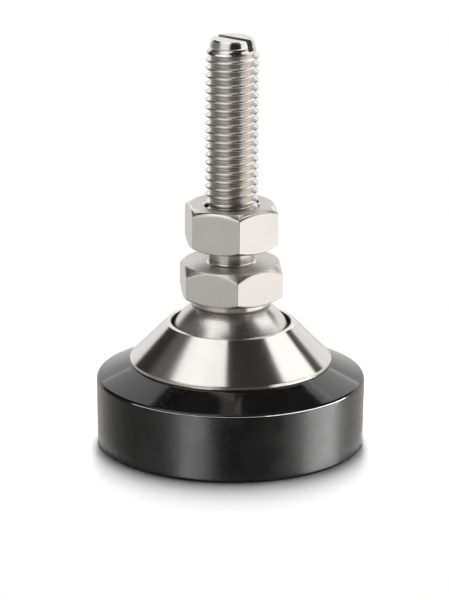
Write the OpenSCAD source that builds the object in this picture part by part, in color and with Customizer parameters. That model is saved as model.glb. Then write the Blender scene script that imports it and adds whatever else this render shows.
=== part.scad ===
// Levelling foot: a threaded spindle whose ball end turns and tilts in a round foot.
// Millimetres, +Z up. The origin is the centre of the base's underside, on the floor.

/* [Base] */
// Diameter across the base's upper edge
base_d = 50; // [46:0.5:80]
// Height of that upper edge above the floor
base_edge_h = 13.05; // [11:0.05:20]
// Rise of the sloping shoulder, from the upper edge to the housing's seat
shoulder_h = 2.85; // [1:0.05:5]
// Draft of the base's side, in degrees
base_draft = 1; // [0:0.1:3]
// Thickness of the floor that the bearing cup stands on
base_floor = 4; // [3:0.1:5]
// Radius rolled over the upper edge
upper_edge_r = 0.8; // [0.3:0.1:2]
// Radius rolled under the lower edge
lower_edge_r = 0.8; // [0.3:0.1:2]
// Number of grip grooves moulded into the underside
groove_count = 3; // [1:1:4]
// Spacing of the grip grooves
groove_pitch = 5; // [3:0.1:5.5]
// Width of a grip groove
groove_w = 1.4; // [0.6:0.1:2]
// Depth of a grip groove
groove_depth = 0.8; // [0.3:0.1:1.5]

/* [Housing] */
// Height of the cone above its seat on the base
cone_h = 7.7; // [6:0.1:12]
// Width of the flange that rests on the base
flange_w = 2.8; // [1.5:0.1:4]
// Height of the upright land around the flange
rim_h = 0.8; // [0.4:0.1:2]
// Width of the flat lip around the opening
lip_w = 0.95; // [0.5:0.05:2]
// Wall of the spigot that sits in the base
spigot_wall = 2.5; // [2:0.1:4]
// Radius on the cone's outer edges
rim_edge_r = 0.3; // [0.1:0.05:0.35]
// Radius on both edges of the lip
lip_edge_r = 0.25; // [0.1:0.05:0.4]

/* [Ball joint] */
// Diameter of the ball
ball_d = 24.4; // [20:0.1:28]
// Depth of the ball's centre below the lip
ball_sink = 6.5; // [5.5:0.1:8]
// Reach of the lip inward over the ball's widest circle
ball_retention = 1.15; // [0.6:0.05:2.5]
// Distance from the ball's centre to its flat underside
ball_flat = 8.6; // [6:0.1:9]
// Wall of the bearing cup beside the ball
cup_wall = 1.25; // [1:0.05:3]
// Thickness of the bearing cup under its bowl
cup_floor = 1.6; // [1:0.1:2]
// Drop of the bearing cup's upper edge below the ball's centre
cup_drop = 2; // [1.5:0.1:5]

/* [Retaining ring] */
// Thickness of the ring
ring_t = 1.2; // [0.8:0.1:2]
// Depth of its groove in the housing's bore
ring_seat = 0.75; // [0.4:0.05:1.2]
// Reach of the ring inward under the cup's shoulder
ring_reach = 0.9; // [0.5:0.05:1.5]
// Height of the land below the ring
ring_land = 1; // [0.6:0.1:2]
// Width of the gap in the ring
ring_gap = 6; // [2:0.5:10]

/* [Spindle] */
// Diameter of the collar between the ball and the hexagon
collar_d = 14.5; // [12:0.1:17]
// Height of the collar where it leaves the ball
collar_h = 1.54; // [1:0.02:4]
// Depth of the turned groove below the collar
undercut_depth = 0.3; // [0.1:0.05:0.6]
// Height of that groove
undercut_h = 0.4; // [0.2:0.05:0.8]
// Hexagon across flats
hex_af = 18; // [16:0.5:24]
// Height of the hexagon
hex_h = 6.75; // [5:0.25:12]
// Turn of the hexagon's leading corner from the front, in degrees
hex_turn = 6.8; // [-30:0.1:30]
// Nominal thread diameter
thread_d = 10; // [8:0.5:12]
// Pitch of the right-hand thread
thread_pitch = 1.5; // [1:0.05:1.75]
// Direction in which the thread starts, in degrees from +X
thread_start = 47; // [0:1:359]
// Length of the stud above the hexagon
stud_l = 42.6; // [25:0.1:120]
// Length of the plain neck between the hexagon and the thread
neck_l = 4.2; // [3:0.1:8]
// Depth of the neck below the thread's crest
neck_relief = 0.73; // [0.4:0.01:1.2]
// Radius where the neck meets the hexagon
neck_fillet = 0.4; // [0.2:0.1:1.4]
// Length of the smooth tapered end
tip_l = 2.2; // [1:0.1:4]
// Reduction of the tapered end's radius at its foot, below the thread's crest
tip_step = 0.55; // [0.2:0.05:0.8]
// Further reduction of its radius at the top
tip_taper = 0.6; // [0.2:0.05:1.2]
// Width of the screwdriver slot
slot_w = 1.5; // [0.8:0.1:2.5]
// Depth of the screwdriver slot
slot_depth = 1.95; // [1:0.05:4]
// Direction of the screwdriver slot, in degrees from +X
slot_turn = -36; // [-90:1:90]

/* [Lock nut] */
// Nut across flats
nut_af = 16; // [15:0.5:22]
// Height of the nut
nut_h = 8; // [5:0.1:12]
// Gap between the nut and the spindle's hexagon
nut_gap = 3.1; // [0.5:0.1:20]
// Turn of the nut's leading corner from the front, in degrees
nut_turn = 9.2; // [-30:0.1:30]
// Width of the countersink at each end of the nut's bore
countersink_w = 0.45; // [0.2:0.05:0.8]

/* [Clearances] */
// Thread crest below the nominal diameter, on the radius
crest_allowance = 0.07; // [0.02:0.01:0.12]
// Nut's bore over the thread's crest, on the radius
nut_clearance = 0.07; // [0.02:0.01:0.1]
// Spherical seats over the ball, on the radius
ball_clearance = 0.08; // [0.02:0.01:0.1]
// Housing's bore over the bearing cup, on the radius
cup_clearance = 0.05; // [0.02:0.01:0.1]
// Base's pocket over the housing's spigot, on the radius
spigot_clearance = 0.05; // [0.02:0.01:0.2]
// Spigot's lower face over the pocket's floor
spigot_float = 0.1; // [0.02:0.01:0.3]
// Bearing cup over the pocket's floor
cup_float = 0.05; // [0.02:0.01:0.09]
// Retaining ring in its groove, on each side
ring_clearance = 0.05; // [0.02:0.01:0.1]
// Cup's shoulder over the retaining ring
shoulder_clearance = 0.1; // [0.05:0.01:0.3]
// Cup's boss inside the retaining ring, on the radius
boss_clearance = 0.3; // [0.2:0.05:0.5]

/* [Hidden] */
$fn = 96;
arc_steps = 6;
overlap = 0.5;
groove_over = 0.05;
chamfer_cut = 30;
shoulder_cut = 45;
bearing_share = 0.95;
thread_depth_share = 0.6;
thread_crest_share = 1 / 8;
thread_flank = 30;
steps_per_turn = 20;
front = -90;
rubber_black = [0.06, 0.06, 0.065];
bright_nickel = [0.79, 0.77, 0.74];
ring_steel = [0.45, 0.46, 0.48];
cup_plastic = [0.9, 0.89, 0.85];

ball_r = ball_d / 2;
seat_r = ball_r + ball_clearance;
cup_r = ball_r + cup_wall;
bore_r = cup_r + cup_clearance;
spigot_r = bore_r + spigot_wall;
rim_r = spigot_r + flange_w;
opening_r = ball_r - ball_retention;
lip_r = opening_r + lip_w;
pocket_r = spigot_r + spigot_clearance;
base_r = base_d / 2;
base_foot_r = base_r - base_edge_h * tan(base_draft);

seat_z = base_edge_h + shoulder_h;
lip_z = seat_z + cone_h;
ball_z = lip_z - ball_sink;
spigot_z = base_floor + spigot_float;
cup_z = base_floor + cup_float;
cup_top_z = ball_z - cup_drop;
bowl_z = cup_z + cup_floor;
bore_top_z = cup_top_z + cup_drop / 2;

ring_z = spigot_z + ring_land;
ring_groove_r = bore_r + ring_seat;
ring_outer_r = ring_groove_r - ring_clearance;
ring_inner_r = bore_r - ring_reach;
cup_shoulder_z = ring_z + ring_t + shoulder_clearance;
boss_r = ring_inner_r - boss_clearance;

collar_r = collar_d / 2;
collar_z = ball_z + sqrt(ball_r * ball_r - collar_r * collar_r);
hex_z = collar_z + collar_h;
hex_top_z = hex_z + hex_h;
crest_r = thread_d / 2 - crest_allowance;
neck_r = crest_r - neck_relief;
thread_depth = thread_depth_share * thread_pitch;
root_r = crest_r - thread_depth;
thread_z = hex_top_z + neck_l;
tip_z = hex_top_z + stud_l;
tip_foot_z = tip_z - tip_l;
tip_foot_r = crest_r - tip_step;
tip_r = tip_foot_r - tip_taper;

nut_z = hex_top_z + nut_gap;
nut_bore_r = crest_r + nut_clearance;

// Unit vector along v
function unit(v) = v / norm(v);

// Arc of radius r that rounds the corner between two straight lines
function corner_arc(before, corner, after, r) =
    let (
        back = unit(before - corner),
        ahead = unit(after - corner),
        half = acos(back * ahead) / 2,
        centre = corner + unit(back + ahead) * r / sin(half),
        first = corner + back * r / tan(half) - centre,
        last = corner + ahead * r / tan(half) - centre,
        start = atan2(first.y, first.x),
        turn = atan2(first.x * last.y - first.y * last.x, first * last)
    )
    [for (i = [0 : arc_steps]) centre + r * [cos(start + turn * i / arc_steps), sin(start + turn * i / arc_steps)]];

// Outline through points [radius, height, edge radius], with every edge radius above zero rounded
function soft_outline(points) =
    let (
        count = len(points),
        flat = [for (p = points) [p[0], p[1]]]
    )
    [
        for (i = [0 : count - 1])
            each points[i][2] > 0
                ? corner_arc(flat[(i + count - 1) % count], flat[i], flat[(i + 1) % count], points[i][2])
                : [flat[i]]
    ];

// Solid turned from an outline of [radius, height, edge radius] points
module turned(points) {
    rotate_extrude()
        polygon(soft_outline(points));
}

// Hexagon bar with its corners turned off at both ends, down to the given circles
module hexagon(across_flats, z, height, low_circle_r, low_cut, high_circle_r, high_cut, turn) {
    corner_r = across_flats / sqrt(3);
    outer_r = corner_r + overlap;
    intersection() {
        translate([0, 0, z])
            rotate([0, 0, front + turn])
                cylinder(h = height, r = corner_r, $fn = 6);
        turned([
            [0, z, 0],
            [low_circle_r, z, 0],
            [outer_r, z + (outer_r - low_circle_r) * tan(low_cut), 0],
            [outer_r, z + height - (outer_r - high_circle_r) * tan(high_cut), 0],
            [high_circle_r, z + height, 0],
            [0, z + height, 0]
        ]);
    }
}

// Black foot: near-upright side, sloping shoulder, seat and pocket for the housing, grooved underside
module foot_base() {
    color(rubber_black)
        difference() {
            turned([
                [0, 0, 0],
                [base_foot_r, 0, lower_edge_r],
                [base_r, base_edge_h, upper_edge_r],
                [rim_r, seat_z, 0],
                [pocket_r, seat_z, 0],
                [pocket_r, base_floor, 0],
                [0, base_floor, 0]
            ]);
            for (i = [1 : groove_count])
                grip_groove(base_foot_r - i * groove_pitch);
        }
}

// Ring cut into the underside
module grip_groove(middle_r) {
    turned([
        [middle_r - groove_w / 2, -overlap, 0],
        [middle_r + groove_w / 2, -overlap, 0],
        [middle_r + groove_w / 2, groove_depth, 0],
        [middle_r - groove_w / 2, groove_depth, 0]
    ]);
}

// Bright cone that holds the ball down, with its spigot, cup bore and ring groove
module cone_housing() {
    color(bright_nickel)
        difference() {
            turned([
                [opening_r, spigot_z, 0],
                [spigot_r, spigot_z, rim_edge_r],
                [spigot_r, seat_z, 0],
                [rim_r, seat_z, rim_edge_r],
                [rim_r, seat_z + rim_h, rim_edge_r],
                [lip_r, lip_z, lip_edge_r],
                [opening_r, lip_z, lip_edge_r]
            ]);
            translate([0, 0, ball_z])
                sphere(r = seat_r);
            translate([0, 0, spigot_z - overlap])
                cylinder(h = bore_top_z - spigot_z + overlap, r = bore_r);
            translate([0, 0, ring_z - ring_clearance])
                cylinder(h = ring_t + 2 * ring_clearance, r = ring_groove_r);
        }
}

// Bearing cup under the ball, with a shoulder that the ring holds
module ball_cup() {
    color(cup_plastic)
        difference() {
            turned([
                [0, cup_z, 0],
                [boss_r, cup_z, 0],
                [boss_r, cup_shoulder_z, 0],
                [cup_r, cup_shoulder_z, 0],
                [cup_r, cup_top_z, 0],
                [0, cup_top_z, 0]
            ]);
            intersection() {
                translate([0, 0, ball_z])
                    sphere(r = seat_r);
                translate([0, 0, bowl_z])
                    cylinder(h = cup_top_z - bowl_z + overlap, r = cup_r);
            }
        }
}

// Split snap ring in the housing's groove
module retaining_ring() {
    color(ring_steel)
        difference() {
            turned([
                [ring_inner_r, ring_z, 0],
                [ring_outer_r, ring_z, 0],
                [ring_outer_r, ring_z + ring_t, 0],
                [ring_inner_r, ring_z + ring_t, 0]
            ]);
            translate([0, -ring_gap / 2, ring_z - overlap])
                cube([ring_outer_r + overlap, ring_gap, ring_t + 2 * overlap]);
        }
}

// Ball end, cut flat underneath
module ball_end() {
    intersection() {
        translate([0, 0, ball_z])
            sphere(r = ball_r);
        translate([0, 0, ball_z - ball_flat])
            cylinder(h = ball_flat + ball_d, r = ball_d);
    }
}

// Collar, neck, stud and tapered end, turned in one
module spindle_shank() {
    turned([
        [0, ball_z, 0],
        [collar_r - undercut_depth, ball_z, 0],
        [collar_r - undercut_depth, collar_z + undercut_h, 0],
        [collar_r, collar_z + undercut_h, 0],
        [collar_r, hex_z + overlap, 0],
        [neck_r + neck_fillet, hex_z + overlap, 0],
        [neck_r + neck_fillet, hex_top_z, 0],
        [neck_r, hex_top_z, neck_fillet],
        [neck_r, thread_z - neck_relief, 0],
        [crest_r, thread_z, 0],
        [crest_r, tip_foot_z - tip_step, 0],
        [tip_foot_r, tip_foot_z, 0],
        [tip_r, tip_z, 0],
        [0, tip_z, 0]
    ]);
}

// Section of the thread's groove after a number of turns: lower root, lower mouth, upper mouth, upper root.
// The cut deepens over the first half turn, so it starts clear of the neck.
function groove_section(turns) =
    let (
        mouth_r = crest_r / cos(180 / steps_per_turn) + groove_over,
        root_w = thread_pitch * (1 - thread_crest_share) - 2 * thread_depth * tan(thread_flank),
        mouth_w = root_w + 2 * (mouth_r - root_r) * tan(thread_flank),
        lift = thread_depth * max(0, 1 - 2 * turns),
        z = thread_z - neck_relief + (turns - 0.5) * thread_pitch
    )
    [
        for (edge = [[root_r, -root_w], [mouth_r, -mouth_w], [mouth_r, mouth_w], [root_r, root_w]])
            [
                (edge[0] + lift) * cos(thread_start + 360 * turns),
                (edge[0] + lift) * sin(thread_start + 360 * turns),
                z + edge[1] / 2
            ]
    ];

// Helical groove that leaves the thread standing between its turns
module thread_groove() {
    turn_count = ceil((tip_z - thread_z + neck_relief) / thread_pitch) + 1;
    steps = turn_count * steps_per_turn;
    sides = [
        for (i = [0 : steps - 1], k = [0 : 3])
            let (
                a = 4 * i + k,
                b = 4 * i + (k + 1) % 4
            )
            each [[a, b, b + 4], [a, b + 4, a + 4]]
    ];
    polyhedron(
        points = [for (i = [0 : steps]) each groove_section(i / steps_per_turn)],
        faces = [[3, 2, 1, 0], each sides, [for (k = [0 : 3]) 4 * steps + k]]
    );
}

// Screwdriver slot across the spindle's end
module driver_slot() {
    rotate([0, 0, slot_turn])
        translate([-thread_d / 2, -slot_w / 2, tip_z - slot_depth])
            cube([thread_d, slot_w, slot_depth + overlap]);
}

// One-piece spindle
module spindle() {
    color(bright_nickel)
        difference() {
            union() {
                ball_end();
                spindle_shank();
                hexagon(
                    hex_af, hex_z, hex_h,
                    bearing_share * hex_af / 2, chamfer_cut,
                    hex_af / 2, shoulder_cut,
                    hex_turn
                );
            }
            thread_groove();
            driver_slot();
        }
}

// Loose nut on the stud
module lock_nut() {
    nut_circle_r = bearing_share * nut_af / 2;
    mouth_r = nut_bore_r + countersink_w;
    color(bright_nickel)
        difference() {
            hexagon(nut_af, nut_z, nut_h, nut_circle_r, chamfer_cut, nut_circle_r, chamfer_cut, nut_turn);
            turned([
                [0, nut_z - overlap, 0],
                [mouth_r + overlap, nut_z - overlap, 0],
                [nut_bore_r, nut_z + countersink_w, 0],
                [nut_bore_r, nut_z + nut_h - countersink_w, 0],
                [mouth_r + overlap, nut_z + nut_h + overlap, 0],
                [0, nut_z + nut_h + overlap, 0]
            ]);
        }
}

foot_base();
cone_housing();
ball_cup();
retaining_ring();
spindle();
lock_nut();
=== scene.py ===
"""Dresses the levelling foot: fine meshes for the pieces that show, finishes, studio and camera."""
import math

import bmesh
import bpy
from mathutils import Matrix, Vector


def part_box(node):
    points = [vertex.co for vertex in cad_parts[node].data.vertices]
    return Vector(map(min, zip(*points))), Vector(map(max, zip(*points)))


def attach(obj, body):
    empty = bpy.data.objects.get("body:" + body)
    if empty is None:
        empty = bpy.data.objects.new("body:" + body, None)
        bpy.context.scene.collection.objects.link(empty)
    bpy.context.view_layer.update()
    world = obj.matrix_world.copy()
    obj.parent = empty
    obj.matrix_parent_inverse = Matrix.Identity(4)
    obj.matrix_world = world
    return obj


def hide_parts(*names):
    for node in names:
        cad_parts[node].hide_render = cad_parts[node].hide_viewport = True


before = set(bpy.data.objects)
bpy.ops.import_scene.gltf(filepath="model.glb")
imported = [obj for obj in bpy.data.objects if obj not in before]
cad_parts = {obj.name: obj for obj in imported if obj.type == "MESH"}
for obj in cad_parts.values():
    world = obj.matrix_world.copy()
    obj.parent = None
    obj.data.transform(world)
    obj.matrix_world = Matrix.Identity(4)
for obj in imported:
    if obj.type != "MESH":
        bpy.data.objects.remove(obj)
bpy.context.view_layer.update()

# One millimetre in metres, and how fine the meshes are: SUPPORT is in millimetres and MERGE in metres
MM = 0.001
SIDES = 192
ARC_STEPS = 8
SUPPORT = 0.04
SHARP_ANGLE = math.radians(50)
MERGE = 1e-6


def span_mm(node):
    """Lowest and highest point of a CAD node, in millimetres."""
    low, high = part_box(node)
    return low.z / MM, high.z / MM


# Heights in millimetres, from the frame
seat_z = span_mm("foot_base")[1]
spigot_z, lip_z = span_mm("cone_housing")
ball_flat_z, tip_z = span_mm("spindle")
nut_z, nut_top_z = span_mm("lock_nut")
cup_top_z = span_mm("ball_cup")[1]
ring_z, ring_top_z = span_mm("retaining_ring")

# Base, in millimetres
base_r = 25.0
base_edge_z = seat_z - 2.85
base_foot_r = base_r - base_edge_z * math.tan(math.radians(1.0))
base_floor_z = spigot_z - 0.1
pocket_r = 16.05
upper_edge_r = 0.8
lower_edge_r = 0.8
groove_count = 3
groove_pitch = 5.0
groove_w = 1.4
groove_depth = 0.8
groove_edge_r = 0.2

# Housing, in millimetres
rim_r = 18.8
rim_h = 0.8
rim_edge_r = 0.3
spigot_r = 16.0
bore_r = 13.5
ring_groove_r = 14.25
lip_r = 12.0
opening_r = 11.05
lip_edge_r = 0.25

# Ball joint, in millimetres
ball_r = 12.2
ball_z = lip_z - 6.5
seat_r = 12.28
seat_steps = 12
ball_steps = 36
bore_top_z = cup_top_z + 1.0

# Spindle, in millimetres and degrees from the front
hex_top_z = nut_z - 3.1
hex_z = hex_top_z - 6.75
hex_apothem = 9.0
hex_turn = 6.8
hex_low_circle = 8.55
hex_high_circle = 8.93
corner_round = 0.12
edge_break = 0.25
edge_inset = 0.2 * edge_break
edge_sink = 0.1 * edge_break
collar_r = 7.25
collar_edge_r = 0.12
undercut_r = 6.95
undercut_h = 0.4
crest_r = 4.93
neck_r = 4.2
neck_fillet = 0.4
neck_land = 0.5
thread_z = hex_top_z + 4.2
pitch = 1.5
thread_start = 47.0
thread_depth = 0.6 * pitch
crest_share = 1 / 16
flank_share = 0.354
thread_softness = 0.14
rows_per_turn = 16
tip_foot_z = tip_z - 2.2
tip_foot_r = crest_r - 0.55
tip_r = tip_foot_r - 0.6
tip_edge_r = 0.25
slot_w = 1.5
slot_depth = 1.95
slot_turn = -36.0

# Lock nut, in millimetres and degrees from the front
nut_apothem = 8.0
nut_turn = 9.2
nut_circle = 7.6
nut_bore_r = 5.0
nut_mouth_r = 5.45
nut_mouth_edge_r = 0.05

# The floor's glow, its radius in metres, and the camera's angle
floor_lift = 0.03
floor_r = 0.095
camera_rise = math.radians(17.14)

# The front's direction in degrees, and the slopes of the turned corners
FRONT = -90.0
CHAMFER = math.tan(math.radians(30))
SHOULDER = math.tan(math.radians(45))


def corner_arc(before, corner, after, radius):
    """Points of the arc that rounds one corner of an outline."""
    back = (before - corner).normalized()
    ahead = (after - corner).normalized()
    half = math.acos(max(-1.0, min(1.0, back.dot(ahead)))) / 2
    centre = corner + (back + ahead).normalized() * radius / math.sin(half)
    first = corner + back * radius / math.tan(half) - centre
    last = corner + ahead * radius / math.tan(half) - centre
    start = math.atan2(first.y, first.x)
    turn = math.atan2(first.x * last.y - first.y * last.x, first.dot(last))
    angles = [start + turn * i / ARC_STEPS for i in range(ARC_STEPS + 1)]
    return [centre + radius * Vector((math.cos(a), math.sin(a))) for a in angles]


def soft_outline(points, loop):
    """Outline through (radius, height, edge radius) points, with rounded edges and long faces held flat."""
    flat = [Vector((p[0], p[1])) for p in points]
    count = len(flat)
    outline = []
    for i, (_, _, edge) in enumerate(points):
        if edge > 0:
            outline += corner_arc(flat[i - 1], flat[i], flat[(i + 1) % count], edge)
        else:
            outline.append(flat[i])
    return held_flat(outline, loop)


def held_flat(outline, loop):
    """Adds a point close to each end of every long straight stretch, so its shading stays flat."""
    ends = outline[1:] + outline[:1] if loop else outline[1:]
    held = []
    for a, b in zip(outline, ends):
        held.append(a)
        length = (b - a).length
        if length > 6 * SUPPORT:
            along = (b - a) / length
            held += [a + along * SUPPORT, b - along * SUPPORT]
    if not loop:
        held.append(outline[-1])
    return held


def sphere_arc(radius, centre_z, from_z, to_z, steps):
    """Outline points on a sphere about the axis, between two heights."""
    low = math.asin((from_z - centre_z) / radius)
    high = math.asin((to_z - centre_z) / radius)
    angles = [low + (high - low) * i / steps for i in range(steps + 1)]
    return [(radius * math.cos(a), centre_z + radius * math.sin(a), 0) for a in angles]


def even_columns():
    """Directions of evenly spaced columns round the axis, in radians."""
    return [2 * math.pi * i / SIDES for i in range(SIDES)]


def hexagon_columns(turn):
    """Directions of columns that follow a hexagon's flats and crowd round its corners, in radians."""
    side_turn = 60
    by_corner = [0.35, 0.72, 1.1, 2.2]
    on_flat = list(range(5, side_turn - 4, 3))
    offsets = [0.0] + by_corner + on_flat + [side_turn - d for d in reversed(by_corner)]
    return [math.radians(FRONT + turn + side_turn * side + d) for side in range(6) for d in offsets]


def hexagon_radius(apothem, turn, direction):
    """Distance from the axis to a hexagon with rounded corners, along one direction."""
    off = (math.degrees(direction) - FRONT - turn) % 60
    off = math.radians(min(off, 60 - off))
    centre = (apothem - corner_round) / math.cos(math.pi / 6)
    tangent = math.atan2(corner_round / 2, centre + corner_round * math.cos(math.pi / 6))
    if off < tangent:
        return centre * math.cos(off) + math.sqrt(corner_round ** 2 - (centre * math.sin(off)) ** 2)
    return apothem / math.cos(math.pi / 6 - off)


def at(radius, direction, height):
    """Point in metres from millimetres and a direction round the axis."""
    return Vector((radius * math.cos(direction), radius * math.sin(direction), height)) * MM


def turned_rings(outline, columns):
    """Rings of points from an outline of (radius, height) points."""
    return [[at(p.x, c, p.y) for c in columns] for p in outline]


def skin(bm, rings, loop):
    """Joins rings of points with faces. A ring on the axis closes to one point."""
    made = []
    for ring in rings:
        if ring[0].xy.length < MERGE:
            made.append([bm.verts.new(ring[0])] * len(ring))
        else:
            made.append([bm.verts.new(p) for p in ring])
    following = made[1:] + made[:1] if loop else made[1:]
    for low, high in zip(made, following):
        for i in range(len(low)):
            k = (i + 1) % len(low)
            corners = []
            for vert in (low[i], low[k], high[k], high[i]):
                if vert not in corners:
                    corners.append(vert)
            if len(corners) > 2:
                bm.faces.new(corners)


def to_object(bm, name):
    """Closes a bmesh into an object with outward faces and smooth shading."""
    bmesh.ops.remove_doubles(bm, verts=bm.verts, dist=MERGE)
    bmesh.ops.dissolve_degenerate(bm, edges=bm.edges, dist=MERGE)
    bmesh.ops.recalc_face_normals(bm, faces=bm.faces)
    mesh = bpy.data.meshes.new(name)
    bm.to_mesh(mesh)
    bm.free()
    piece = bpy.data.objects.new(name, mesh)
    bpy.context.scene.collection.objects.link(piece)
    shade(mesh)
    return piece


def shade(mesh):
    """Smooth faces, with the edges that are truly sharp kept sharp."""
    bm = bmesh.new()
    bm.from_mesh(mesh)
    for face in bm.faces:
        face.smooth = True
    for edge in bm.edges:
        edge.smooth = edge.is_manifold and edge.calc_face_angle(0) < SHARP_ANGLE
    bm.to_mesh(mesh)
    bm.free()


def turned_piece(name, points, loop):
    """Object turned from (radius, height, edge radius) points."""
    bm = bmesh.new()
    skin(bm, turned_rings(soft_outline(points, loop), even_columns()), loop)
    return to_object(bm, name)


def chamfered_end(apothem, turn, columns, face_z, circle, slope, inward):
    """Rings from a hexagon's face out over its turned corners and on to its flats.

    inward is -1 at the top and 1 below.
    """
    steps = [
        (circle - SUPPORT, 0),
        (circle + SUPPORT, 0),
        (None, edge_break),
        (None, 0),
        (None, -edge_break),
    ]
    rings = []
    for radius, short in steps:
        ring = []
        for c in columns:
            outer = hexagon_radius(apothem, turn, c)
            drop_at_edge = (outer - circle) * slope
            if radius is not None:
                r, drop = radius, max(0.0, radius - circle) * slope
            elif short > 0:
                r, drop = outer - short, (outer - short - circle) * slope
            elif short == 0:
                r, drop = outer - edge_inset, drop_at_edge + edge_sink
            else:
                r, drop = outer, drop_at_edge - short
            ring.append(at(r, c, face_z + inward * max(0.0, drop)))
        rings.append(ring)
    return rings


def flat_side(apothem, turn, columns, height_of):
    """One ring on a hexagon's flats, at a height worked out for each column."""
    ring = []
    for c in columns:
        outer = hexagon_radius(apothem, turn, c)
        ring.append(at(outer, c, height_of(outer)))
    return ring


def make_base():
    """Black foot with its rolled edges, pocket and grooved underside."""
    underside = []
    for i in range(groove_count, 0, -1):
        middle = base_foot_r - i * groove_pitch
        inner, outer = middle - groove_w / 2, middle + groove_w / 2
        underside += [
            (inner, 0, 0),
            (inner, groove_depth, groove_edge_r),
            (outer, groove_depth, groove_edge_r),
            (outer, 0, 0),
        ]
    return turned_piece("foot_base_moulding", [
        (0, 0, 0),
        *underside,
        (base_foot_r, 0, lower_edge_r),
        (base_r, base_edge_z, upper_edge_r),
        (rim_r, seat_z, 0),
        (pocket_r, seat_z, 0),
        (pocket_r, base_floor_z, 0),
        (0, base_floor_z, 0),
    ], loop=False)


def make_housing():
    """Bright cone with its lip, seat, bore and spigot."""
    seat_top_z = ball_z + math.sqrt(seat_r ** 2 - opening_r ** 2)
    return turned_piece("cone_housing_turned", [
        (bore_r, spigot_z, 0),
        (spigot_r, spigot_z, rim_edge_r),
        (spigot_r, seat_z, 0),
        (rim_r, seat_z, rim_edge_r),
        (rim_r, seat_z + rim_h, rim_edge_r),
        (lip_r, lip_z, lip_edge_r),
        (opening_r, lip_z, lip_edge_r),
        *reversed(sphere_arc(seat_r, ball_z, bore_top_z, seat_top_z, seat_steps)),
        (bore_r, bore_top_z, 0),
        (bore_r, ring_top_z, 0),
        (ring_groove_r, ring_top_z, 0),
        (ring_groove_r, ring_z, 0),
        (bore_r, ring_z, 0),
    ], loop=True)


def thread_cut(turns):
    """Depth below the thread's crest, as a share of the full depth, so many turns along the axis."""
    off = abs((turns + 0.5) % 1 - 0.5)
    u = (off - crest_share) / flank_share

    def area(x):
        x = max(0.0, x)
        return x * x / 2 if x < 1 else x - 0.5

    return (area(u + thread_softness) - area(u - thread_softness)) / (2 * thread_softness)


def stud_envelope(height):
    """Largest radius of the stud at a height: neck, thread crest, step and taper."""
    run_in = neck_r + (height - (thread_z - (crest_r - neck_r)))
    step = tip_foot_r + (tip_foot_z - height)
    taper = tip_foot_r + (tip_r - tip_foot_r) * (height - tip_foot_z) / (tip_z - tip_foot_z)
    return min(crest_r, run_in, step if height < tip_foot_z else taper)


def add_thread(bm, columns, low_z, high_z):
    """Right-hand helical thread between two heights. Rows past the ends close on to the end rings."""
    rows = int((high_z - low_z) / pitch + 4) * rows_per_turn
    first_turn = (columns[0] - math.radians(thread_start)) / (2 * math.pi) % 1 - 2
    grid = []
    for c in columns:
        turn = first_turn + (c - columns[0]) / (2 * math.pi)
        line = []
        for row in range(rows):
            along = row / rows_per_turn
            height = min(max(low_z + (along + turn) * pitch, low_z), high_z)
            radius = min(crest_r - thread_depth * thread_cut(along), stud_envelope(height))
            line.append(bm.verts.new(at(radius, c, height)))
        grid.append(line)
    for i, line in enumerate(grid):
        last = i + 1 == len(grid)
        beside = grid[0] if last else grid[i + 1]
        shift = rows_per_turn if last else 0
        for row in range(rows - 1 - shift):
            bm.faces.new((line[row], beside[row + shift], beside[row + 1 + shift], line[row + 1]))


def cut_slot(piece):
    """Cuts the screwdriver slot across the end of the spindle."""
    bm = bmesh.new()
    bmesh.ops.create_cube(bm, size=1.0)
    mesh = bpy.data.meshes.new("slot_cutter")
    bm.to_mesh(mesh)
    bm.free()
    cutter = bpy.data.objects.new("slot_cutter", mesh)
    cutter.scale = Vector((4 * crest_r, slot_w, 2 * slot_depth)) * MM
    cutter.location = (0, 0, tip_z * MM)
    cutter.rotation_euler = (0, 0, math.radians(slot_turn))
    bpy.context.scene.collection.objects.link(cutter)
    cut = piece.modifiers.new("slot", "BOOLEAN")
    cut.object = cutter
    cut.operation = "DIFFERENCE"
    cut.solver = "EXACT"
    bpy.context.view_layer.update()
    done = piece.evaluated_get(bpy.context.evaluated_depsgraph_get())
    whole = piece.data
    piece.data = bpy.data.meshes.new_from_object(done)
    piece.modifiers.clear()
    bpy.data.meshes.remove(whole)
    bpy.data.objects.remove(cutter)
    shade(piece.data)


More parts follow.
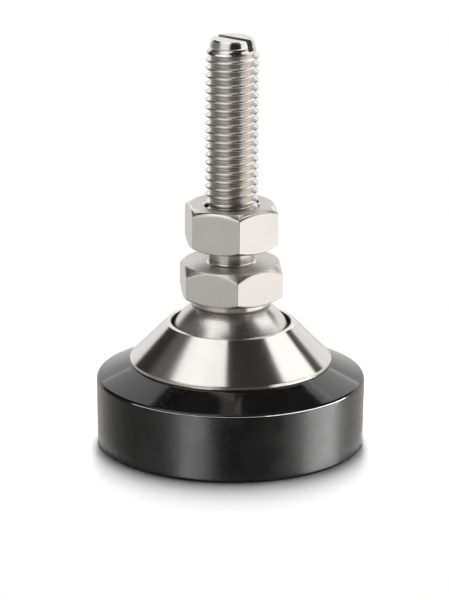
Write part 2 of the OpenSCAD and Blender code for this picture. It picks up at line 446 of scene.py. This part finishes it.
def make_spindle():
    """One-piece spindle: ball, collar, hexagon, neck, threaded stud, tapered end and slot."""
    columns = hexagon_columns(hex_turn)
    collar_z = ball_z + math.sqrt(ball_r ** 2 - collar_r ** 2)
    undercut_z = ball_z + math.sqrt(ball_r ** 2 - undercut_r ** 2)
    below = soft_outline([
        (0, ball_flat_z, 0),
        *sphere_arc(ball_r, ball_z, ball_flat_z, undercut_z, ball_steps),
        (undercut_r, collar_z + undercut_h, 0),
        (collar_r, collar_z + undercut_h, collar_edge_r),
        (collar_r, hex_z, 0),
    ], loop=False)
    neck = soft_outline([
        (neck_r + neck_fillet + neck_land, hex_top_z, 0),
        (neck_r, hex_top_z, neck_fillet),
        (neck_r, thread_z - (crest_r - neck_r), 0),
    ], loop=False)
    low_side = flat_side(
        hex_apothem, hex_turn, columns,
        lambda outer: hex_z + (outer - hex_low_circle) * CHAMFER + 2 * edge_break)
    high_side = flat_side(
        hex_apothem, hex_turn, columns,
        lambda outer: hex_top_z - max(0.0, outer - hex_high_circle) * SHOULDER - 2 * edge_break)
    rings = turned_rings(below, columns)
    rings += chamfered_end(hex_apothem, hex_turn, columns, hex_z, hex_low_circle, CHAMFER, 1)
    rings += [low_side, high_side]
    top_end = chamfered_end(hex_apothem, hex_turn, columns, hex_top_z, hex_high_circle, SHOULDER, -1)
    rings += reversed(top_end)
    rings += turned_rings(neck, columns)
    bm = bmesh.new()
    skin(bm, rings, loop=False)
    thread_top_z = tip_z - tip_edge_r
    add_thread(bm, columns, thread_z - (crest_r - neck_r), thread_top_z)
    end = soft_outline([
        (stud_envelope(thread_top_z), thread_top_z, 0),
        (tip_r - tip_edge_r, tip_z, 0),
        (0, tip_z, 0),
    ], loop=False)
    skin(bm, turned_rings(end, columns), loop=False)
    piece = to_object(bm, "spindle_turned")
    cut_slot(piece)
    return piece


def make_nut():
    """Lock nut with turned corners and countersunk bore."""
    columns = hexagon_columns(nut_turn)
    mouth = nut_mouth_r - nut_bore_r
    inside = soft_outline([
        (nut_mouth_r, nut_z, 0),
        (nut_bore_r, nut_z + mouth, 0),
        (nut_bore_r, nut_top_z - mouth, 0),
        (nut_mouth_r, nut_top_z, nut_mouth_edge_r),
        (nut_circle - 2 * SUPPORT, nut_top_z, 0),
    ], loop=False)
    high_side = flat_side(
        nut_apothem, nut_turn, columns,
        lambda outer: nut_top_z - (outer - nut_circle) * CHAMFER - 2 * edge_break)
    low_side = flat_side(
        nut_apothem, nut_turn, columns,
        lambda outer: nut_z + (outer - nut_circle) * CHAMFER + 2 * edge_break)
    rings = turned_rings(inside, columns)
    rings += chamfered_end(nut_apothem, nut_turn, columns, nut_top_z, nut_circle, CHAMFER, -1)
    rings += [high_side, low_side]
    rings += reversed(chamfered_end(nut_apothem, nut_turn, columns, nut_z, nut_circle, CHAMFER, 1))
    bm = bmesh.new()
    skin(bm, rings, loop=True)
    return to_object(bm, "lock_nut_turned")


def add_node(tree, kind, inputs=None, **settings):
    """One shader node. An input is a value, or a socket to link from."""
    node = tree.nodes.new(kind)
    for name, value in settings.items():
        setattr(node, name, value)
    for name, value in (inputs or {}).items():
        if isinstance(value, bpy.types.NodeSocket):
            tree.links.new(value, node.inputs[name])
        else:
            node.inputs[name].default_value = value
    return node


def new_material(name):
    """Material with its node tree and principled shader."""
    material = bpy.data.materials.new(name)
    material.use_nodes = True
    tree = material.node_tree
    return material, tree, tree.nodes["Principled BSDF"]


def maths(tree, operation, first, second=0.0):
    """Result of one maths node."""
    return add_node(tree, "ShaderNodeMath", {0: first, 1: second}, operation=operation).outputs[0]


def round_axis(tree, around):
    """Coordinates for marks that run round the axis, and the radius.

    The coordinates are the direction, weighed by around, and the height.
    """
    place = add_node(tree, "ShaderNodeTexCoord").outputs["Object"]
    parts = add_node(tree, "ShaderNodeSeparateXYZ", {"Vector": place})
    x, y, z = (maths(tree, "MULTIPLY", parts.outputs[i], 1 / MM) for i in range(3))
    square = maths(tree, "ADD", maths(tree, "MULTIPLY", x, x), maths(tree, "MULTIPLY", y, y))
    radius = maths(tree, "SQRT", square)
    turned = (maths(tree, "DIVIDE", way, radius) for way in (x, y))
    turn_x, turn_y = (maths(tree, "MULTIPLY", way, around) for way in turned)
    coords = add_node(tree, "ShaderNodeCombineXYZ", {"X": turn_x, "Y": turn_y, "Z": z})
    return coords.outputs["Vector"], radius


def noise(tree, vector, scale, detail=3.0, roughness=0.5, fourth=None):
    """Value of a noise texture, over a vector and, where given, a fourth coordinate."""
    inputs = {"Vector": vector, "Scale": scale, "Detail": detail, "Roughness": roughness}
    if fourth is None:
        return add_node(tree, "ShaderNodeTexNoise", inputs).outputs["Fac"]
    inputs["W"] = fourth
    return add_node(tree, "ShaderNodeTexNoise", inputs, noise_dimensions="4D").outputs["Fac"]


def mixed(tree, factor, first, second):
    """Colour between two, each a socket or a red, green and blue value."""
    ends = [end if isinstance(end, bpy.types.NodeSocket) else (*end, 1) for end in (first, second)]
    inputs = {"Factor": factor, "A": ends[0], "B": ends[1]}
    return add_node(tree, "ShaderNodeMix", inputs, data_type="RGBA").outputs["Result"]


def spread(tree, value, low, high, from_low=0.3, from_high=0.7):
    """A value carried from one range to another."""
    inputs = {"Value": value, "From Min": from_low, "From Max": from_high, "To Min": low, "To Max": high}
    return add_node(tree, "ShaderNodeMapRange", inputs).outputs["Result"]


def nickel(name, rough, lines, line_depth, anisotropic, root_r=None):
    """Bright nickel plate over machined steel.

    lines is how close its tool marks lie. Roots inside root_r are rougher, and darker as painted shade.
    """
    dark_plate = (0.66, 0.632, 0.606)
    light_plate = (0.70, 0.677, 0.655)
    # Painted shade for the thread's roots
    speck_colour = (0.3, 0.28, 0.26)
    painted_root_shade = (0.6, 0.572, 0.547)
    cloud_scale = 160.0
    speck_scale = 1500.0
    root_fade = 0.15
    root_rough = 0.2
    material, tree, shader = new_material(name)
    coords, radius = round_axis(tree, around=0.4)
    place = add_node(tree, "ShaderNodeTexCoord").outputs["Object"]
    marks = noise(tree, coords, lines, detail=4.0, roughness=0.65, fourth=radius)
    cloud = noise(tree, place, cloud_scale, detail=4.0)
    tint = mixed(tree, spread(tree, cloud, 0.0, 1.0), dark_plate, light_plate)
    specks = spread(tree, noise(tree, place, speck_scale, detail=2.0), 0.0, 0.22, 0.66, 0.8)
    tint = mixed(tree, specks, tint, speck_colour)
    cloudy = spread(tree, cloud, rough * 0.85, rough)
    gloss = maths(tree, "ADD", cloudy, spread(tree, marks, 0.0, rough * 0.3))
    if root_r:
        root = spread(tree, radius, 1.0, 0.0, root_r, root_r + root_fade)
        # Painted shade: the roots are darkened, and they are also made rougher
        tint = mixed(tree, root, tint, painted_root_shade)
        gloss = maths(tree, "ADD", gloss, maths(tree, "MULTIPLY", root, root_rough))
    shader.inputs["Metallic"].default_value = 1.0
    shader.inputs["Anisotropic"].default_value = anisotropic
    shader.inputs["Anisotropic Rotation"].default_value = 0.25
    tree.links.new(tint, shader.inputs["Base Color"])
    tree.links.new(gloss, shader.inputs["Roughness"])
    relief = {"Height": marks, "Strength": line_depth, "Distance": 0.01 * MM}
    bump = add_node(tree, "ShaderNodeBump", relief)
    tree.links.new(bump.outputs["Normal"], shader.inputs["Normal"])
    tangent = add_node(tree, "ShaderNodeTangent", direction_type="RADIAL", axis="Z")
    tree.links.new(tangent.outputs["Tangent"], shader.inputs["Tangent"])
    return material


def black_moulding():
    """Hard black foot: glossy shoulder, satin side with a fine grain and a little dust."""
    dark_black = (0.0025, 0.0025, 0.0026)
    light_black = (0.005, 0.0048, 0.0048)
    dust_colour = (0.06, 0.058, 0.055)
    side_rough = 0.29
    shoulder_rough = 0.09
    grain_scale = 9000.0
    cloud_scale = 220.0
    dust_scale = 1800.0
    material, tree, shader = new_material("black_moulding")
    place = add_node(tree, "ShaderNodeTexCoord").outputs["Object"]
    facing = add_node(tree, "ShaderNodeNewGeometry").outputs["Normal"]
    up = add_node(tree, "ShaderNodeSeparateXYZ", {"Vector": facing}).outputs["Z"]
    grain = noise(tree, place, grain_scale, detail=2.0)
    cloud = noise(tree, place, cloud_scale, detail=4.0)
    side = spread(tree, up, side_rough, shoulder_rough, 0.06, 0.2)
    gloss = maths(tree, "MULTIPLY", side, spread(tree, cloud, 0.85, 1.15))
    tree.links.new(gloss, shader.inputs["Roughness"])
    tint = mixed(tree, spread(tree, cloud, 0.0, 1.0), dark_black, light_black)
    dust = spread(tree, noise(tree, place, dust_scale, detail=2.0), 0.0, 0.6, 0.7, 0.78)
    tint = mixed(tree, dust, tint, dust_colour)
    tree.links.new(tint, shader.inputs["Base Color"])
    depth = spread(tree, up, 0.2, 0.04, 0.25, 0.75)
    relief = {"Height": grain, "Strength": depth, "Distance": 0.02 * MM}
    bump = add_node(tree, "ShaderNodeBump", relief)
    tree.links.new(bump.outputs["Normal"], shader.inputs["Normal"])
    return material


def plain_finish(name, colour, rough, metallic, scale):
    """Mottled finish for the pieces and faces inside."""
    material, tree, shader = new_material(name)
    place = add_node(tree, "ShaderNodeTexCoord").outputs["Object"]
    cloud = noise(tree, place, scale)
    lighter = tuple(min(1.0, c * 1.25) for c in colour)
    tint = mixed(tree, spread(tree, cloud, 0.0, 1.0), colour, lighter)
    tree.links.new(tint, shader.inputs["Base Color"])
    tree.links.new(spread(tree, cloud, rough * 0.9, rough * 1.1), shader.inputs["Roughness"])
    shader.inputs["Metallic"].default_value = metallic
    return material


def paint(piece, finishes, choose):
    """Gives every face the finish that choose names from its height, its radius and the way it faces."""
    names = list(finishes)
    for name in names:
        piece.data.materials.append(finishes[name])
    for face in piece.data.polygons:
        height, radius = face.center.z / MM, face.center.xy.length / MM
        outward = face.normal.xy.dot(face.center.xy.normalized())
        face.material_index = names.index(choose(height, radius, outward, face.normal.z))


def housing_finish(height, radius, outward, upward):
    """Bright outside; inside the opening and under the rim, rougher steel darkened as painted shade."""
    return "painted_shade" if outward < -0.1 or height < seat_z else "turned"


def nut_finish(height, radius, outward, upward):
    """Milled flats, faced top, turned ends and a bore darkened as painted shade."""
    if outward < -0.9:
        return "painted_shade"
    if upward > 0.95:
        return "faced"
    return "milled" if abs(upward) < 0.3 else "turned"


def spindle_finish(height, radius, outward, upward):
    """Ball, undercut in painted shade, collar, milled hexagon with a faced top, neck, thread, end and slot
    in painted shade.
    """
    slack = 0.01
    collar_z = ball_z + math.sqrt(ball_r ** 2 - collar_r ** 2)
    if height < collar_z:
        return "ball"
    # The undercut groove takes the slot's darker steel, which is painted shade
    if height < collar_z + undercut_h + slack:
        return "slot"
    if hex_z < height < hex_top_z + slack and upward > -0.3 and radius > neck_r + neck_fillet:
        return "milled" if radius > hex_low_circle else "faced"
    if height < thread_z - (crest_r - neck_r):
        return "turned"
    if height < tip_foot_z:
        return "thread"
    return "slot" if outward < 0.5 and upward < 0.9 else "turned"


def floor_material():
    """White that keeps the shadow. Mirror rays pass it away from the foot, and its edge fades."""
    material, tree, shader = new_material("white_floor")
    shader.inputs["Base Color"].default_value = (0.9, 0.9, 0.9, 1)
    shader.inputs["Roughness"].default_value = 0.9
    shader.inputs["Specular IOR Level"].default_value = 0.0
    shader.inputs["Emission Color"].default_value = (1, 1, 1, 1)
    path = add_node(tree, "ShaderNodeLightPath").outputs
    place = add_node(tree, "ShaderNodeTexCoord").outputs["Object"]
    out = add_node(tree, "ShaderNodeVectorMath", {0: place}, operation="LENGTH").outputs["Value"]
    straight = maths(tree, "ADD", path["Is Camera Ray"], path["Is Transmission Ray"])
    seen = maths(tree, "ADD", straight, path["Is Glossy Ray"])
    tree.links.new(maths(tree, "MULTIPLY", seen, floor_lift), shader.inputs["Emission Strength"])
    clear = add_node(tree, "ShaderNodeBsdfTransparent")
    away = spread(tree, out, 0.0, 1.0, 1.05 * base_r * MM, 1.2 * base_r * MM)
    edge = spread(tree, out, 0.0, 1.0, 0.6 * floor_r, 0.97 * floor_r)
    passed = maths(tree, "MAXIMUM", maths(tree, "MULTIPLY", path["Is Glossy Ray"], away), edge)
    both = add_node(tree, "ShaderNodeMixShader", {0: passed, 1: shader.outputs[0], 2: clear.outputs[0]})
    tree.links.new(both.outputs[0], tree.nodes["Material Output"].inputs["Surface"])
    return material


def make_floor():
    """Round floor under the foot."""
    bm = bmesh.new()
    bmesh.ops.create_circle(bm, cap_ends=True, segments=96, radius=floor_r)
    mesh = bpy.data.meshes.new("floor")
    bm.to_mesh(mesh)
    bm.free()
    mesh.materials.append(floor_material())
    floor = bpy.data.objects.new("floor", mesh)
    bpy.context.scene.collection.objects.link(floor)


def softbox(name, centre, along, facing, size, radiance):
    """Rectangular lamp, in metres. along is the way of its first side, facing the way it shines."""
    lamp = bpy.data.lights.new(name, "AREA")
    lamp.shape = "RECTANGLE"
    lamp.size, lamp.size_y = size
    lamp.energy = radiance * math.pi * size[0] * size[1]
    back = -Vector(facing).normalized()
    first = Vector(along).normalized()
    first = (first - back * first.dot(back)).normalized()
    box = bpy.data.objects.new(name, lamp)
    box.matrix_world = Matrix((first, back.cross(first), back)).transposed().to_4x4()
    box.location = centre
    bpy.context.scene.collection.objects.link(box)
    return box


def group(*pieces):
    """Collection of pieces, for a lamp that lights them or is shaded by them alone."""
    near = bpy.data.collections.new("near_" + pieces[0].name)
    for piece in pieces:
        near.objects.link(piece)
    return near


def gloss_card(piece, *softbox_values):
    """Lamp that adds gloss to one piece only, and that only this piece can shade."""
    card = softbox(*softbox_values)
    card.visible_diffuse = False
    card.light_linking.receiver_collection = group(piece)
    card.light_linking.blocker_collection = group(piece)


def shown_in(bearing, rise):
    """Direction that a face shows to the camera, from the face's bearing and rise in degrees."""
    turn, up = math.radians(bearing), math.radians(rise)
    normal = Vector((math.sin(turn) * math.cos(up), -math.cos(turn) * math.cos(up), math.sin(up)))
    look = Vector((0, math.cos(camera_rise), -math.sin(camera_rise)))
    return look - 2 * look.dot(normal) * normal


def band_card(piece, name, bearings, rise, width, radiance):
    """Card that shows in a piece's turned face of one rise, between two bearings."""
    away = 1.4
    first, last = (away * shown_in(bearing, rise) for bearing in bearings)
    centre = (first + last) / 2
    gloss_card(piece, name, centre, last - first, -centre, ((last - first).length, width), radiance)


def make_softboxes(foot, housing, spindle, nut):
    """Softboxes and backdrops that the pieces show, those on the right at a strength for each piece."""
    across, down, forward = (1, 0, 0), (0, 0, -1), (0, -1, 0)
    boxes = [
        softbox("left_softbox", (-0.4525, -0.275, 1.0), across, down, (0.775, 0.95), 1.3),
        softbox("left_skirt", (-0.45, 0.27, 1.0), across, down, (0.8, 0.14), 1.1),
        softbox("middle_skirt", (0.2, 0.21, 1.0), across, down, (0.5, 0.26), 0.5),
        softbox("left_backdrop", (-0.4, 1.25, 1.15), across, forward, (0.8, 1.3), 1.1),
    ]
    right_along, right_facing = (0.123, 0.857, -0.5), (-0.836, -0.378, -0.85)
    right_softbox = (0.749, 0.356, 0.945), right_along, right_facing, (0.786, 0.91)
    right_backdrop = (0.4, 1.25, 0.9), across, forward, (0.8, 0.8)
    for name, pieces, placing, radiance in (
        ("right_softbox", (housing, spindle), right_softbox, 1.5),
        ("nut_softbox", (nut,), right_softbox, 0.8),
        ("foot_backdrop", (foot,), right_backdrop, 1.4),
        ("right_backdrop", (housing,), right_backdrop, 1.9),
        ("stud_backdrop", (spindle, nut), right_backdrop, 0.8),
    ):
        box = softbox(name, *placing, radiance)
        box.light_linking.receiver_collection = group(*pieces)
        boxes.append(box)
    for box in boxes:
        box.visible_diffuse = False


def make_cards(foot, spindle):
    """Cards that draw the highlights on the black foot, and one that softens the stud's dark front."""
    for piece, name, place, size, radiance in (
        (foot, "left_card", (-0.645, -1.008, -0.25), (0.52, 0.6), 4.1),
        (foot, "right_card", (1.199, -0.085, -0.25), (0.8, 0.6), 5.5),
        (spindle, "front_card", (0.392, -1.078, -0.351), (1.12, 0.78), 0.14),
    ):
        centre = Vector(place)
        gloss_card(piece, name, centre, centre.cross((0, 0, -1)), -centre, size, radiance)
    card_width = 0.3
    slope_rise = math.degrees(math.atan2(base_r - rim_r, seat_z - base_edge_z))
    band_card(foot, "slope_card", (42.5, 49), slope_rise, card_width, 1.1)
    edge_rise = 25
    band_card(foot, "left_edge", (-46, -14), edge_rise, card_width, 10)
    band_card(foot, "edge", (-16, 17), edge_rise, card_width, 9)
    band_card(foot, "right_edge", (15, 58), edge_rise, card_width, 32)


def make_lamps(foot, housing, spindle, nut):
    """Top light for the floor, which only the foot shades, and the lamps that the pieces show."""
    top = softbox("top_light", (0, 0.78, 1.0), (1, 0, 0), (0, 0, -1), (0.2, 1.645), 23.0)
    top.visible_glossy = False
    top.light_linking.blocker_collection = group(foot)
    make_softboxes(foot, housing, spindle, nut)
    make_cards(foot, spindle)


def bearing_ramp(tree, turn, stops):
    """Brightness, a little warm, by bearing from the front in degrees, right positive."""
    ramp = add_node(tree, "ShaderNodeValToRGB", {"Fac": turn})
    elements = ramp.color_ramp.elements
    while len(elements) < len(stops):
        elements.new(0.5)
    for element, (bearing, level) in zip(elements, stops):
        element.position = bearing / 360 + 0.5
        element.color = (level, level * 0.98, level * 0.96, 1)
    return ramp.outputs["Color"]


def studio_sides(tree, turn, height):
    """Table, walls and ceiling that mirror rays see, with their shares of wall and of ceiling."""
    table = bearing_ramp(tree, turn, [
        (-180, 0.8), (-145, 0.85), (-125, 0.5), (-100, 0.28), (-80, 0.35), (-58, 0.58), (-20, 0.6),
        (-4, 0.1), (44, 0.08), (52, 1.2), (75, 1.3), (90, 1.45), (105, 1.4), (120, 0.85), (180, 0.8),
    ])
    near_table = bearing_ramp(tree, turn, [
        (-180, 0.8), (-60, 0.9), (-20, 0.9), (-6, 1.05), (38, 1.05), (52, 2.2), (105, 2.2), (120, 0.9),
        (180, 0.8),
    ])
    walls = bearing_ramp(tree, turn, [
        (-180, 0.85), (-162, 1.0), (-143, 0.85), (-137, 0.12), (-110, 0.2), (-75, 0.3), (-60, 1.1),
        (-22, 1.15), (-8, 0.02), (44, 0.02), (52, 1.35), (100, 1.4), (122, 1.12), (150, 1.1),
        (166, 1.05), (180, 0.85),
    ])
    ceiling = bearing_ramp(tree, turn, [
        (-180, 0.035), (-124, 0.035), (-117, 0.14), (-62, 0.14), (-40, 0.035), (180, 0.035),
    ])
    wall_top = bearing_ramp(tree, turn, [
        (-180, 0.37), (-160, 0.37), (-150, 0.29), (-64, 0.29), (-60, 0.7), (-22, 0.7), (-18, 0.37),
        (180, 0.37),
    ])
    near = spread(tree, height, 0.0, 1.0, -0.61, -0.67)
    on_wall = spread(tree, height, 0.0, 1.0, -0.08, 0.08)
    low = mixed(tree, on_wall, mixed(tree, near, table, near_table), walls)
    over = spread(tree, maths(tree, "SUBTRACT", height, wall_top), 0.0, 1.0, -0.01, 0.01)
    return mixed(tree, over, low, ceiling), on_wall, over


def white_share(tree, path, bearing, on_wall, over):
    """How far a ray sees the white background: camera rays all round, mirror rays behind the object."""
    back_from, back_full = math.radians(138), math.radians(146)
    behind = spread(tree, maths(tree, "ABSOLUTE", bearing), 0.0, 1.0, back_from, back_full)
    upright = maths(tree, "MULTIPLY", behind, on_wall)
    backdrop = maths(tree, "MULTIPLY", upright, maths(tree, "SUBTRACT", 1.0, over))
    mirrored = maths(tree, "MULTIPLY", path["Is Glossy Ray"], backdrop)
    straight = maths(tree, "ADD", path["Is Camera Ray"], path["Is Transmission Ray"])
    return maths(tree, "ADD", straight, mirrored)


def make_world():
    """Studio round the object: a white background, with dark and pale sides that the metal shows."""
    world = bpy.data.worlds.new("studio")
    bpy.context.scene.world = world
    world.use_nodes = True
    tree = world.node_tree
    way = add_node(tree, "ShaderNodeTexCoord").outputs["Generated"]
    parts = add_node(tree, "ShaderNodeSeparateXYZ", {"Vector": way}).outputs
    bearing = maths(tree, "ARCTAN2", parts["X"], maths(tree, "MULTIPLY", parts["Y"], -1.0))
    turn = spread(tree, bearing, 0.0, 1.0, -math.pi, math.pi)
    sides, on_wall, over = studio_sides(tree, turn, parts["Z"])
    path = add_node(tree, "ShaderNodeLightPath").outputs
    lit = mixed(tree, path["Is Diffuse Ray"], sides, (0.03, 0.03, 0.03))
    shown = mixed(tree, white_share(tree, path, bearing, on_wall, over), lit, (1, 1, 1))
    tree.links.new(shown, tree.nodes["Background"].inputs["Color"])


def make_camera():
    """Camera at the photograph's angle. The frame is 449 by 600 pixels."""
    frame_height_px = 600
    focal_px = 4768
    distance = 0.887
    roll = math.radians(0.3)
    aim_x = -1.2 * MM
    aim_z = 27.62 * MM
    data = bpy.data.cameras.new("camera")
    data.sensor_fit = "VERTICAL"
    data.sensor_height = 24.0
    data.lens = focal_px / frame_height_px * data.sensor_height
    data.clip_start = 0.01
    camera = bpy.data.objects.new("camera", data)
    camera.location = (aim_x, -distance * math.cos(camera_rise), aim_z + distance * math.sin(camera_rise))
    tilted = Matrix.Rotation(math.pi / 2 - camera_rise, 3, "X") @ Matrix.Rotation(roll, 3, "Z")
    camera.rotation_euler = tilted.to_euler()
    bpy.context.scene.collection.objects.link(camera)
    bpy.context.scene.camera = camera


def dress(piece, body, node):
    """Ties a piece to its CAD body and hides the CAD node that it stands for."""
    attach(piece, body)
    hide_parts(node)


base = make_base()
housing = make_housing()
spindle = make_spindle()
nut = make_nut()

finishes = {
    "turned": nickel("turned_nickel", rough=0.15, lines=14.0, line_depth=0.2, anisotropic=0.6),
    "milled": nickel("milled_nickel", rough=0.3, lines=5.0, line_depth=0.1, anisotropic=0.3),
    # Near-black steel: painted shade for the faces inside gaps and bores
    "painted_shade": plain_finish("painted_shade_steel", (0.07, 0.062, 0.056), 0.5, 1.0, 900.0),
}
hexagon_finishes = {
    **finishes,
    "faced": nickel("faced_nickel", rough=0.42, lines=14.0, line_depth=0.3, anisotropic=0.4),
}
spindle_finishes = {
    **hexagon_finishes,
    "ball": nickel("ball_nickel", rough=0.27, lines=10.0, line_depth=0.3, anisotropic=0.5),
    # Darker steel: painted shade in the slot and the undercut groove
    "slot": plain_finish("painted_recess_shade", (0.42, 0.395, 0.375), 0.4, 1.0, 900.0),
    "thread": nickel("thread_nickel", 0.16, 8.0, 0.1, 0.2, root_r=crest_r - thread_depth),
}
base.data.materials.append(black_moulding())
paint(housing, finishes, housing_finish)
paint(nut, hexagon_finishes, nut_finish)
paint(spindle, spindle_finishes, spindle_finish)

inner_finishes = {
    "ball_cup": plain_finish("cup_plastic", (0.72, 0.71, 0.66), 0.45, 0.0, 400.0),
    "retaining_ring": plain_finish("ring_steel", (0.12, 0.12, 0.13), 0.4, 1.0, 900.0),
}
for node, finish in inner_finishes.items():
    cad_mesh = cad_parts[node].data
    cad_mesh.materials.clear()
    cad_mesh.materials.append(finish)

dress(base, "foot", "foot_base")
dress(housing, "foot", "cone_housing")
dress(spindle, "spindle", "spindle")
dress(nut, "nut", "lock_nut")

make_floor()
make_world()
make_lamps(base, housing, spindle, nut)
make_camera()

bpy.context.scene.view_settings.view_transform = "Standard"
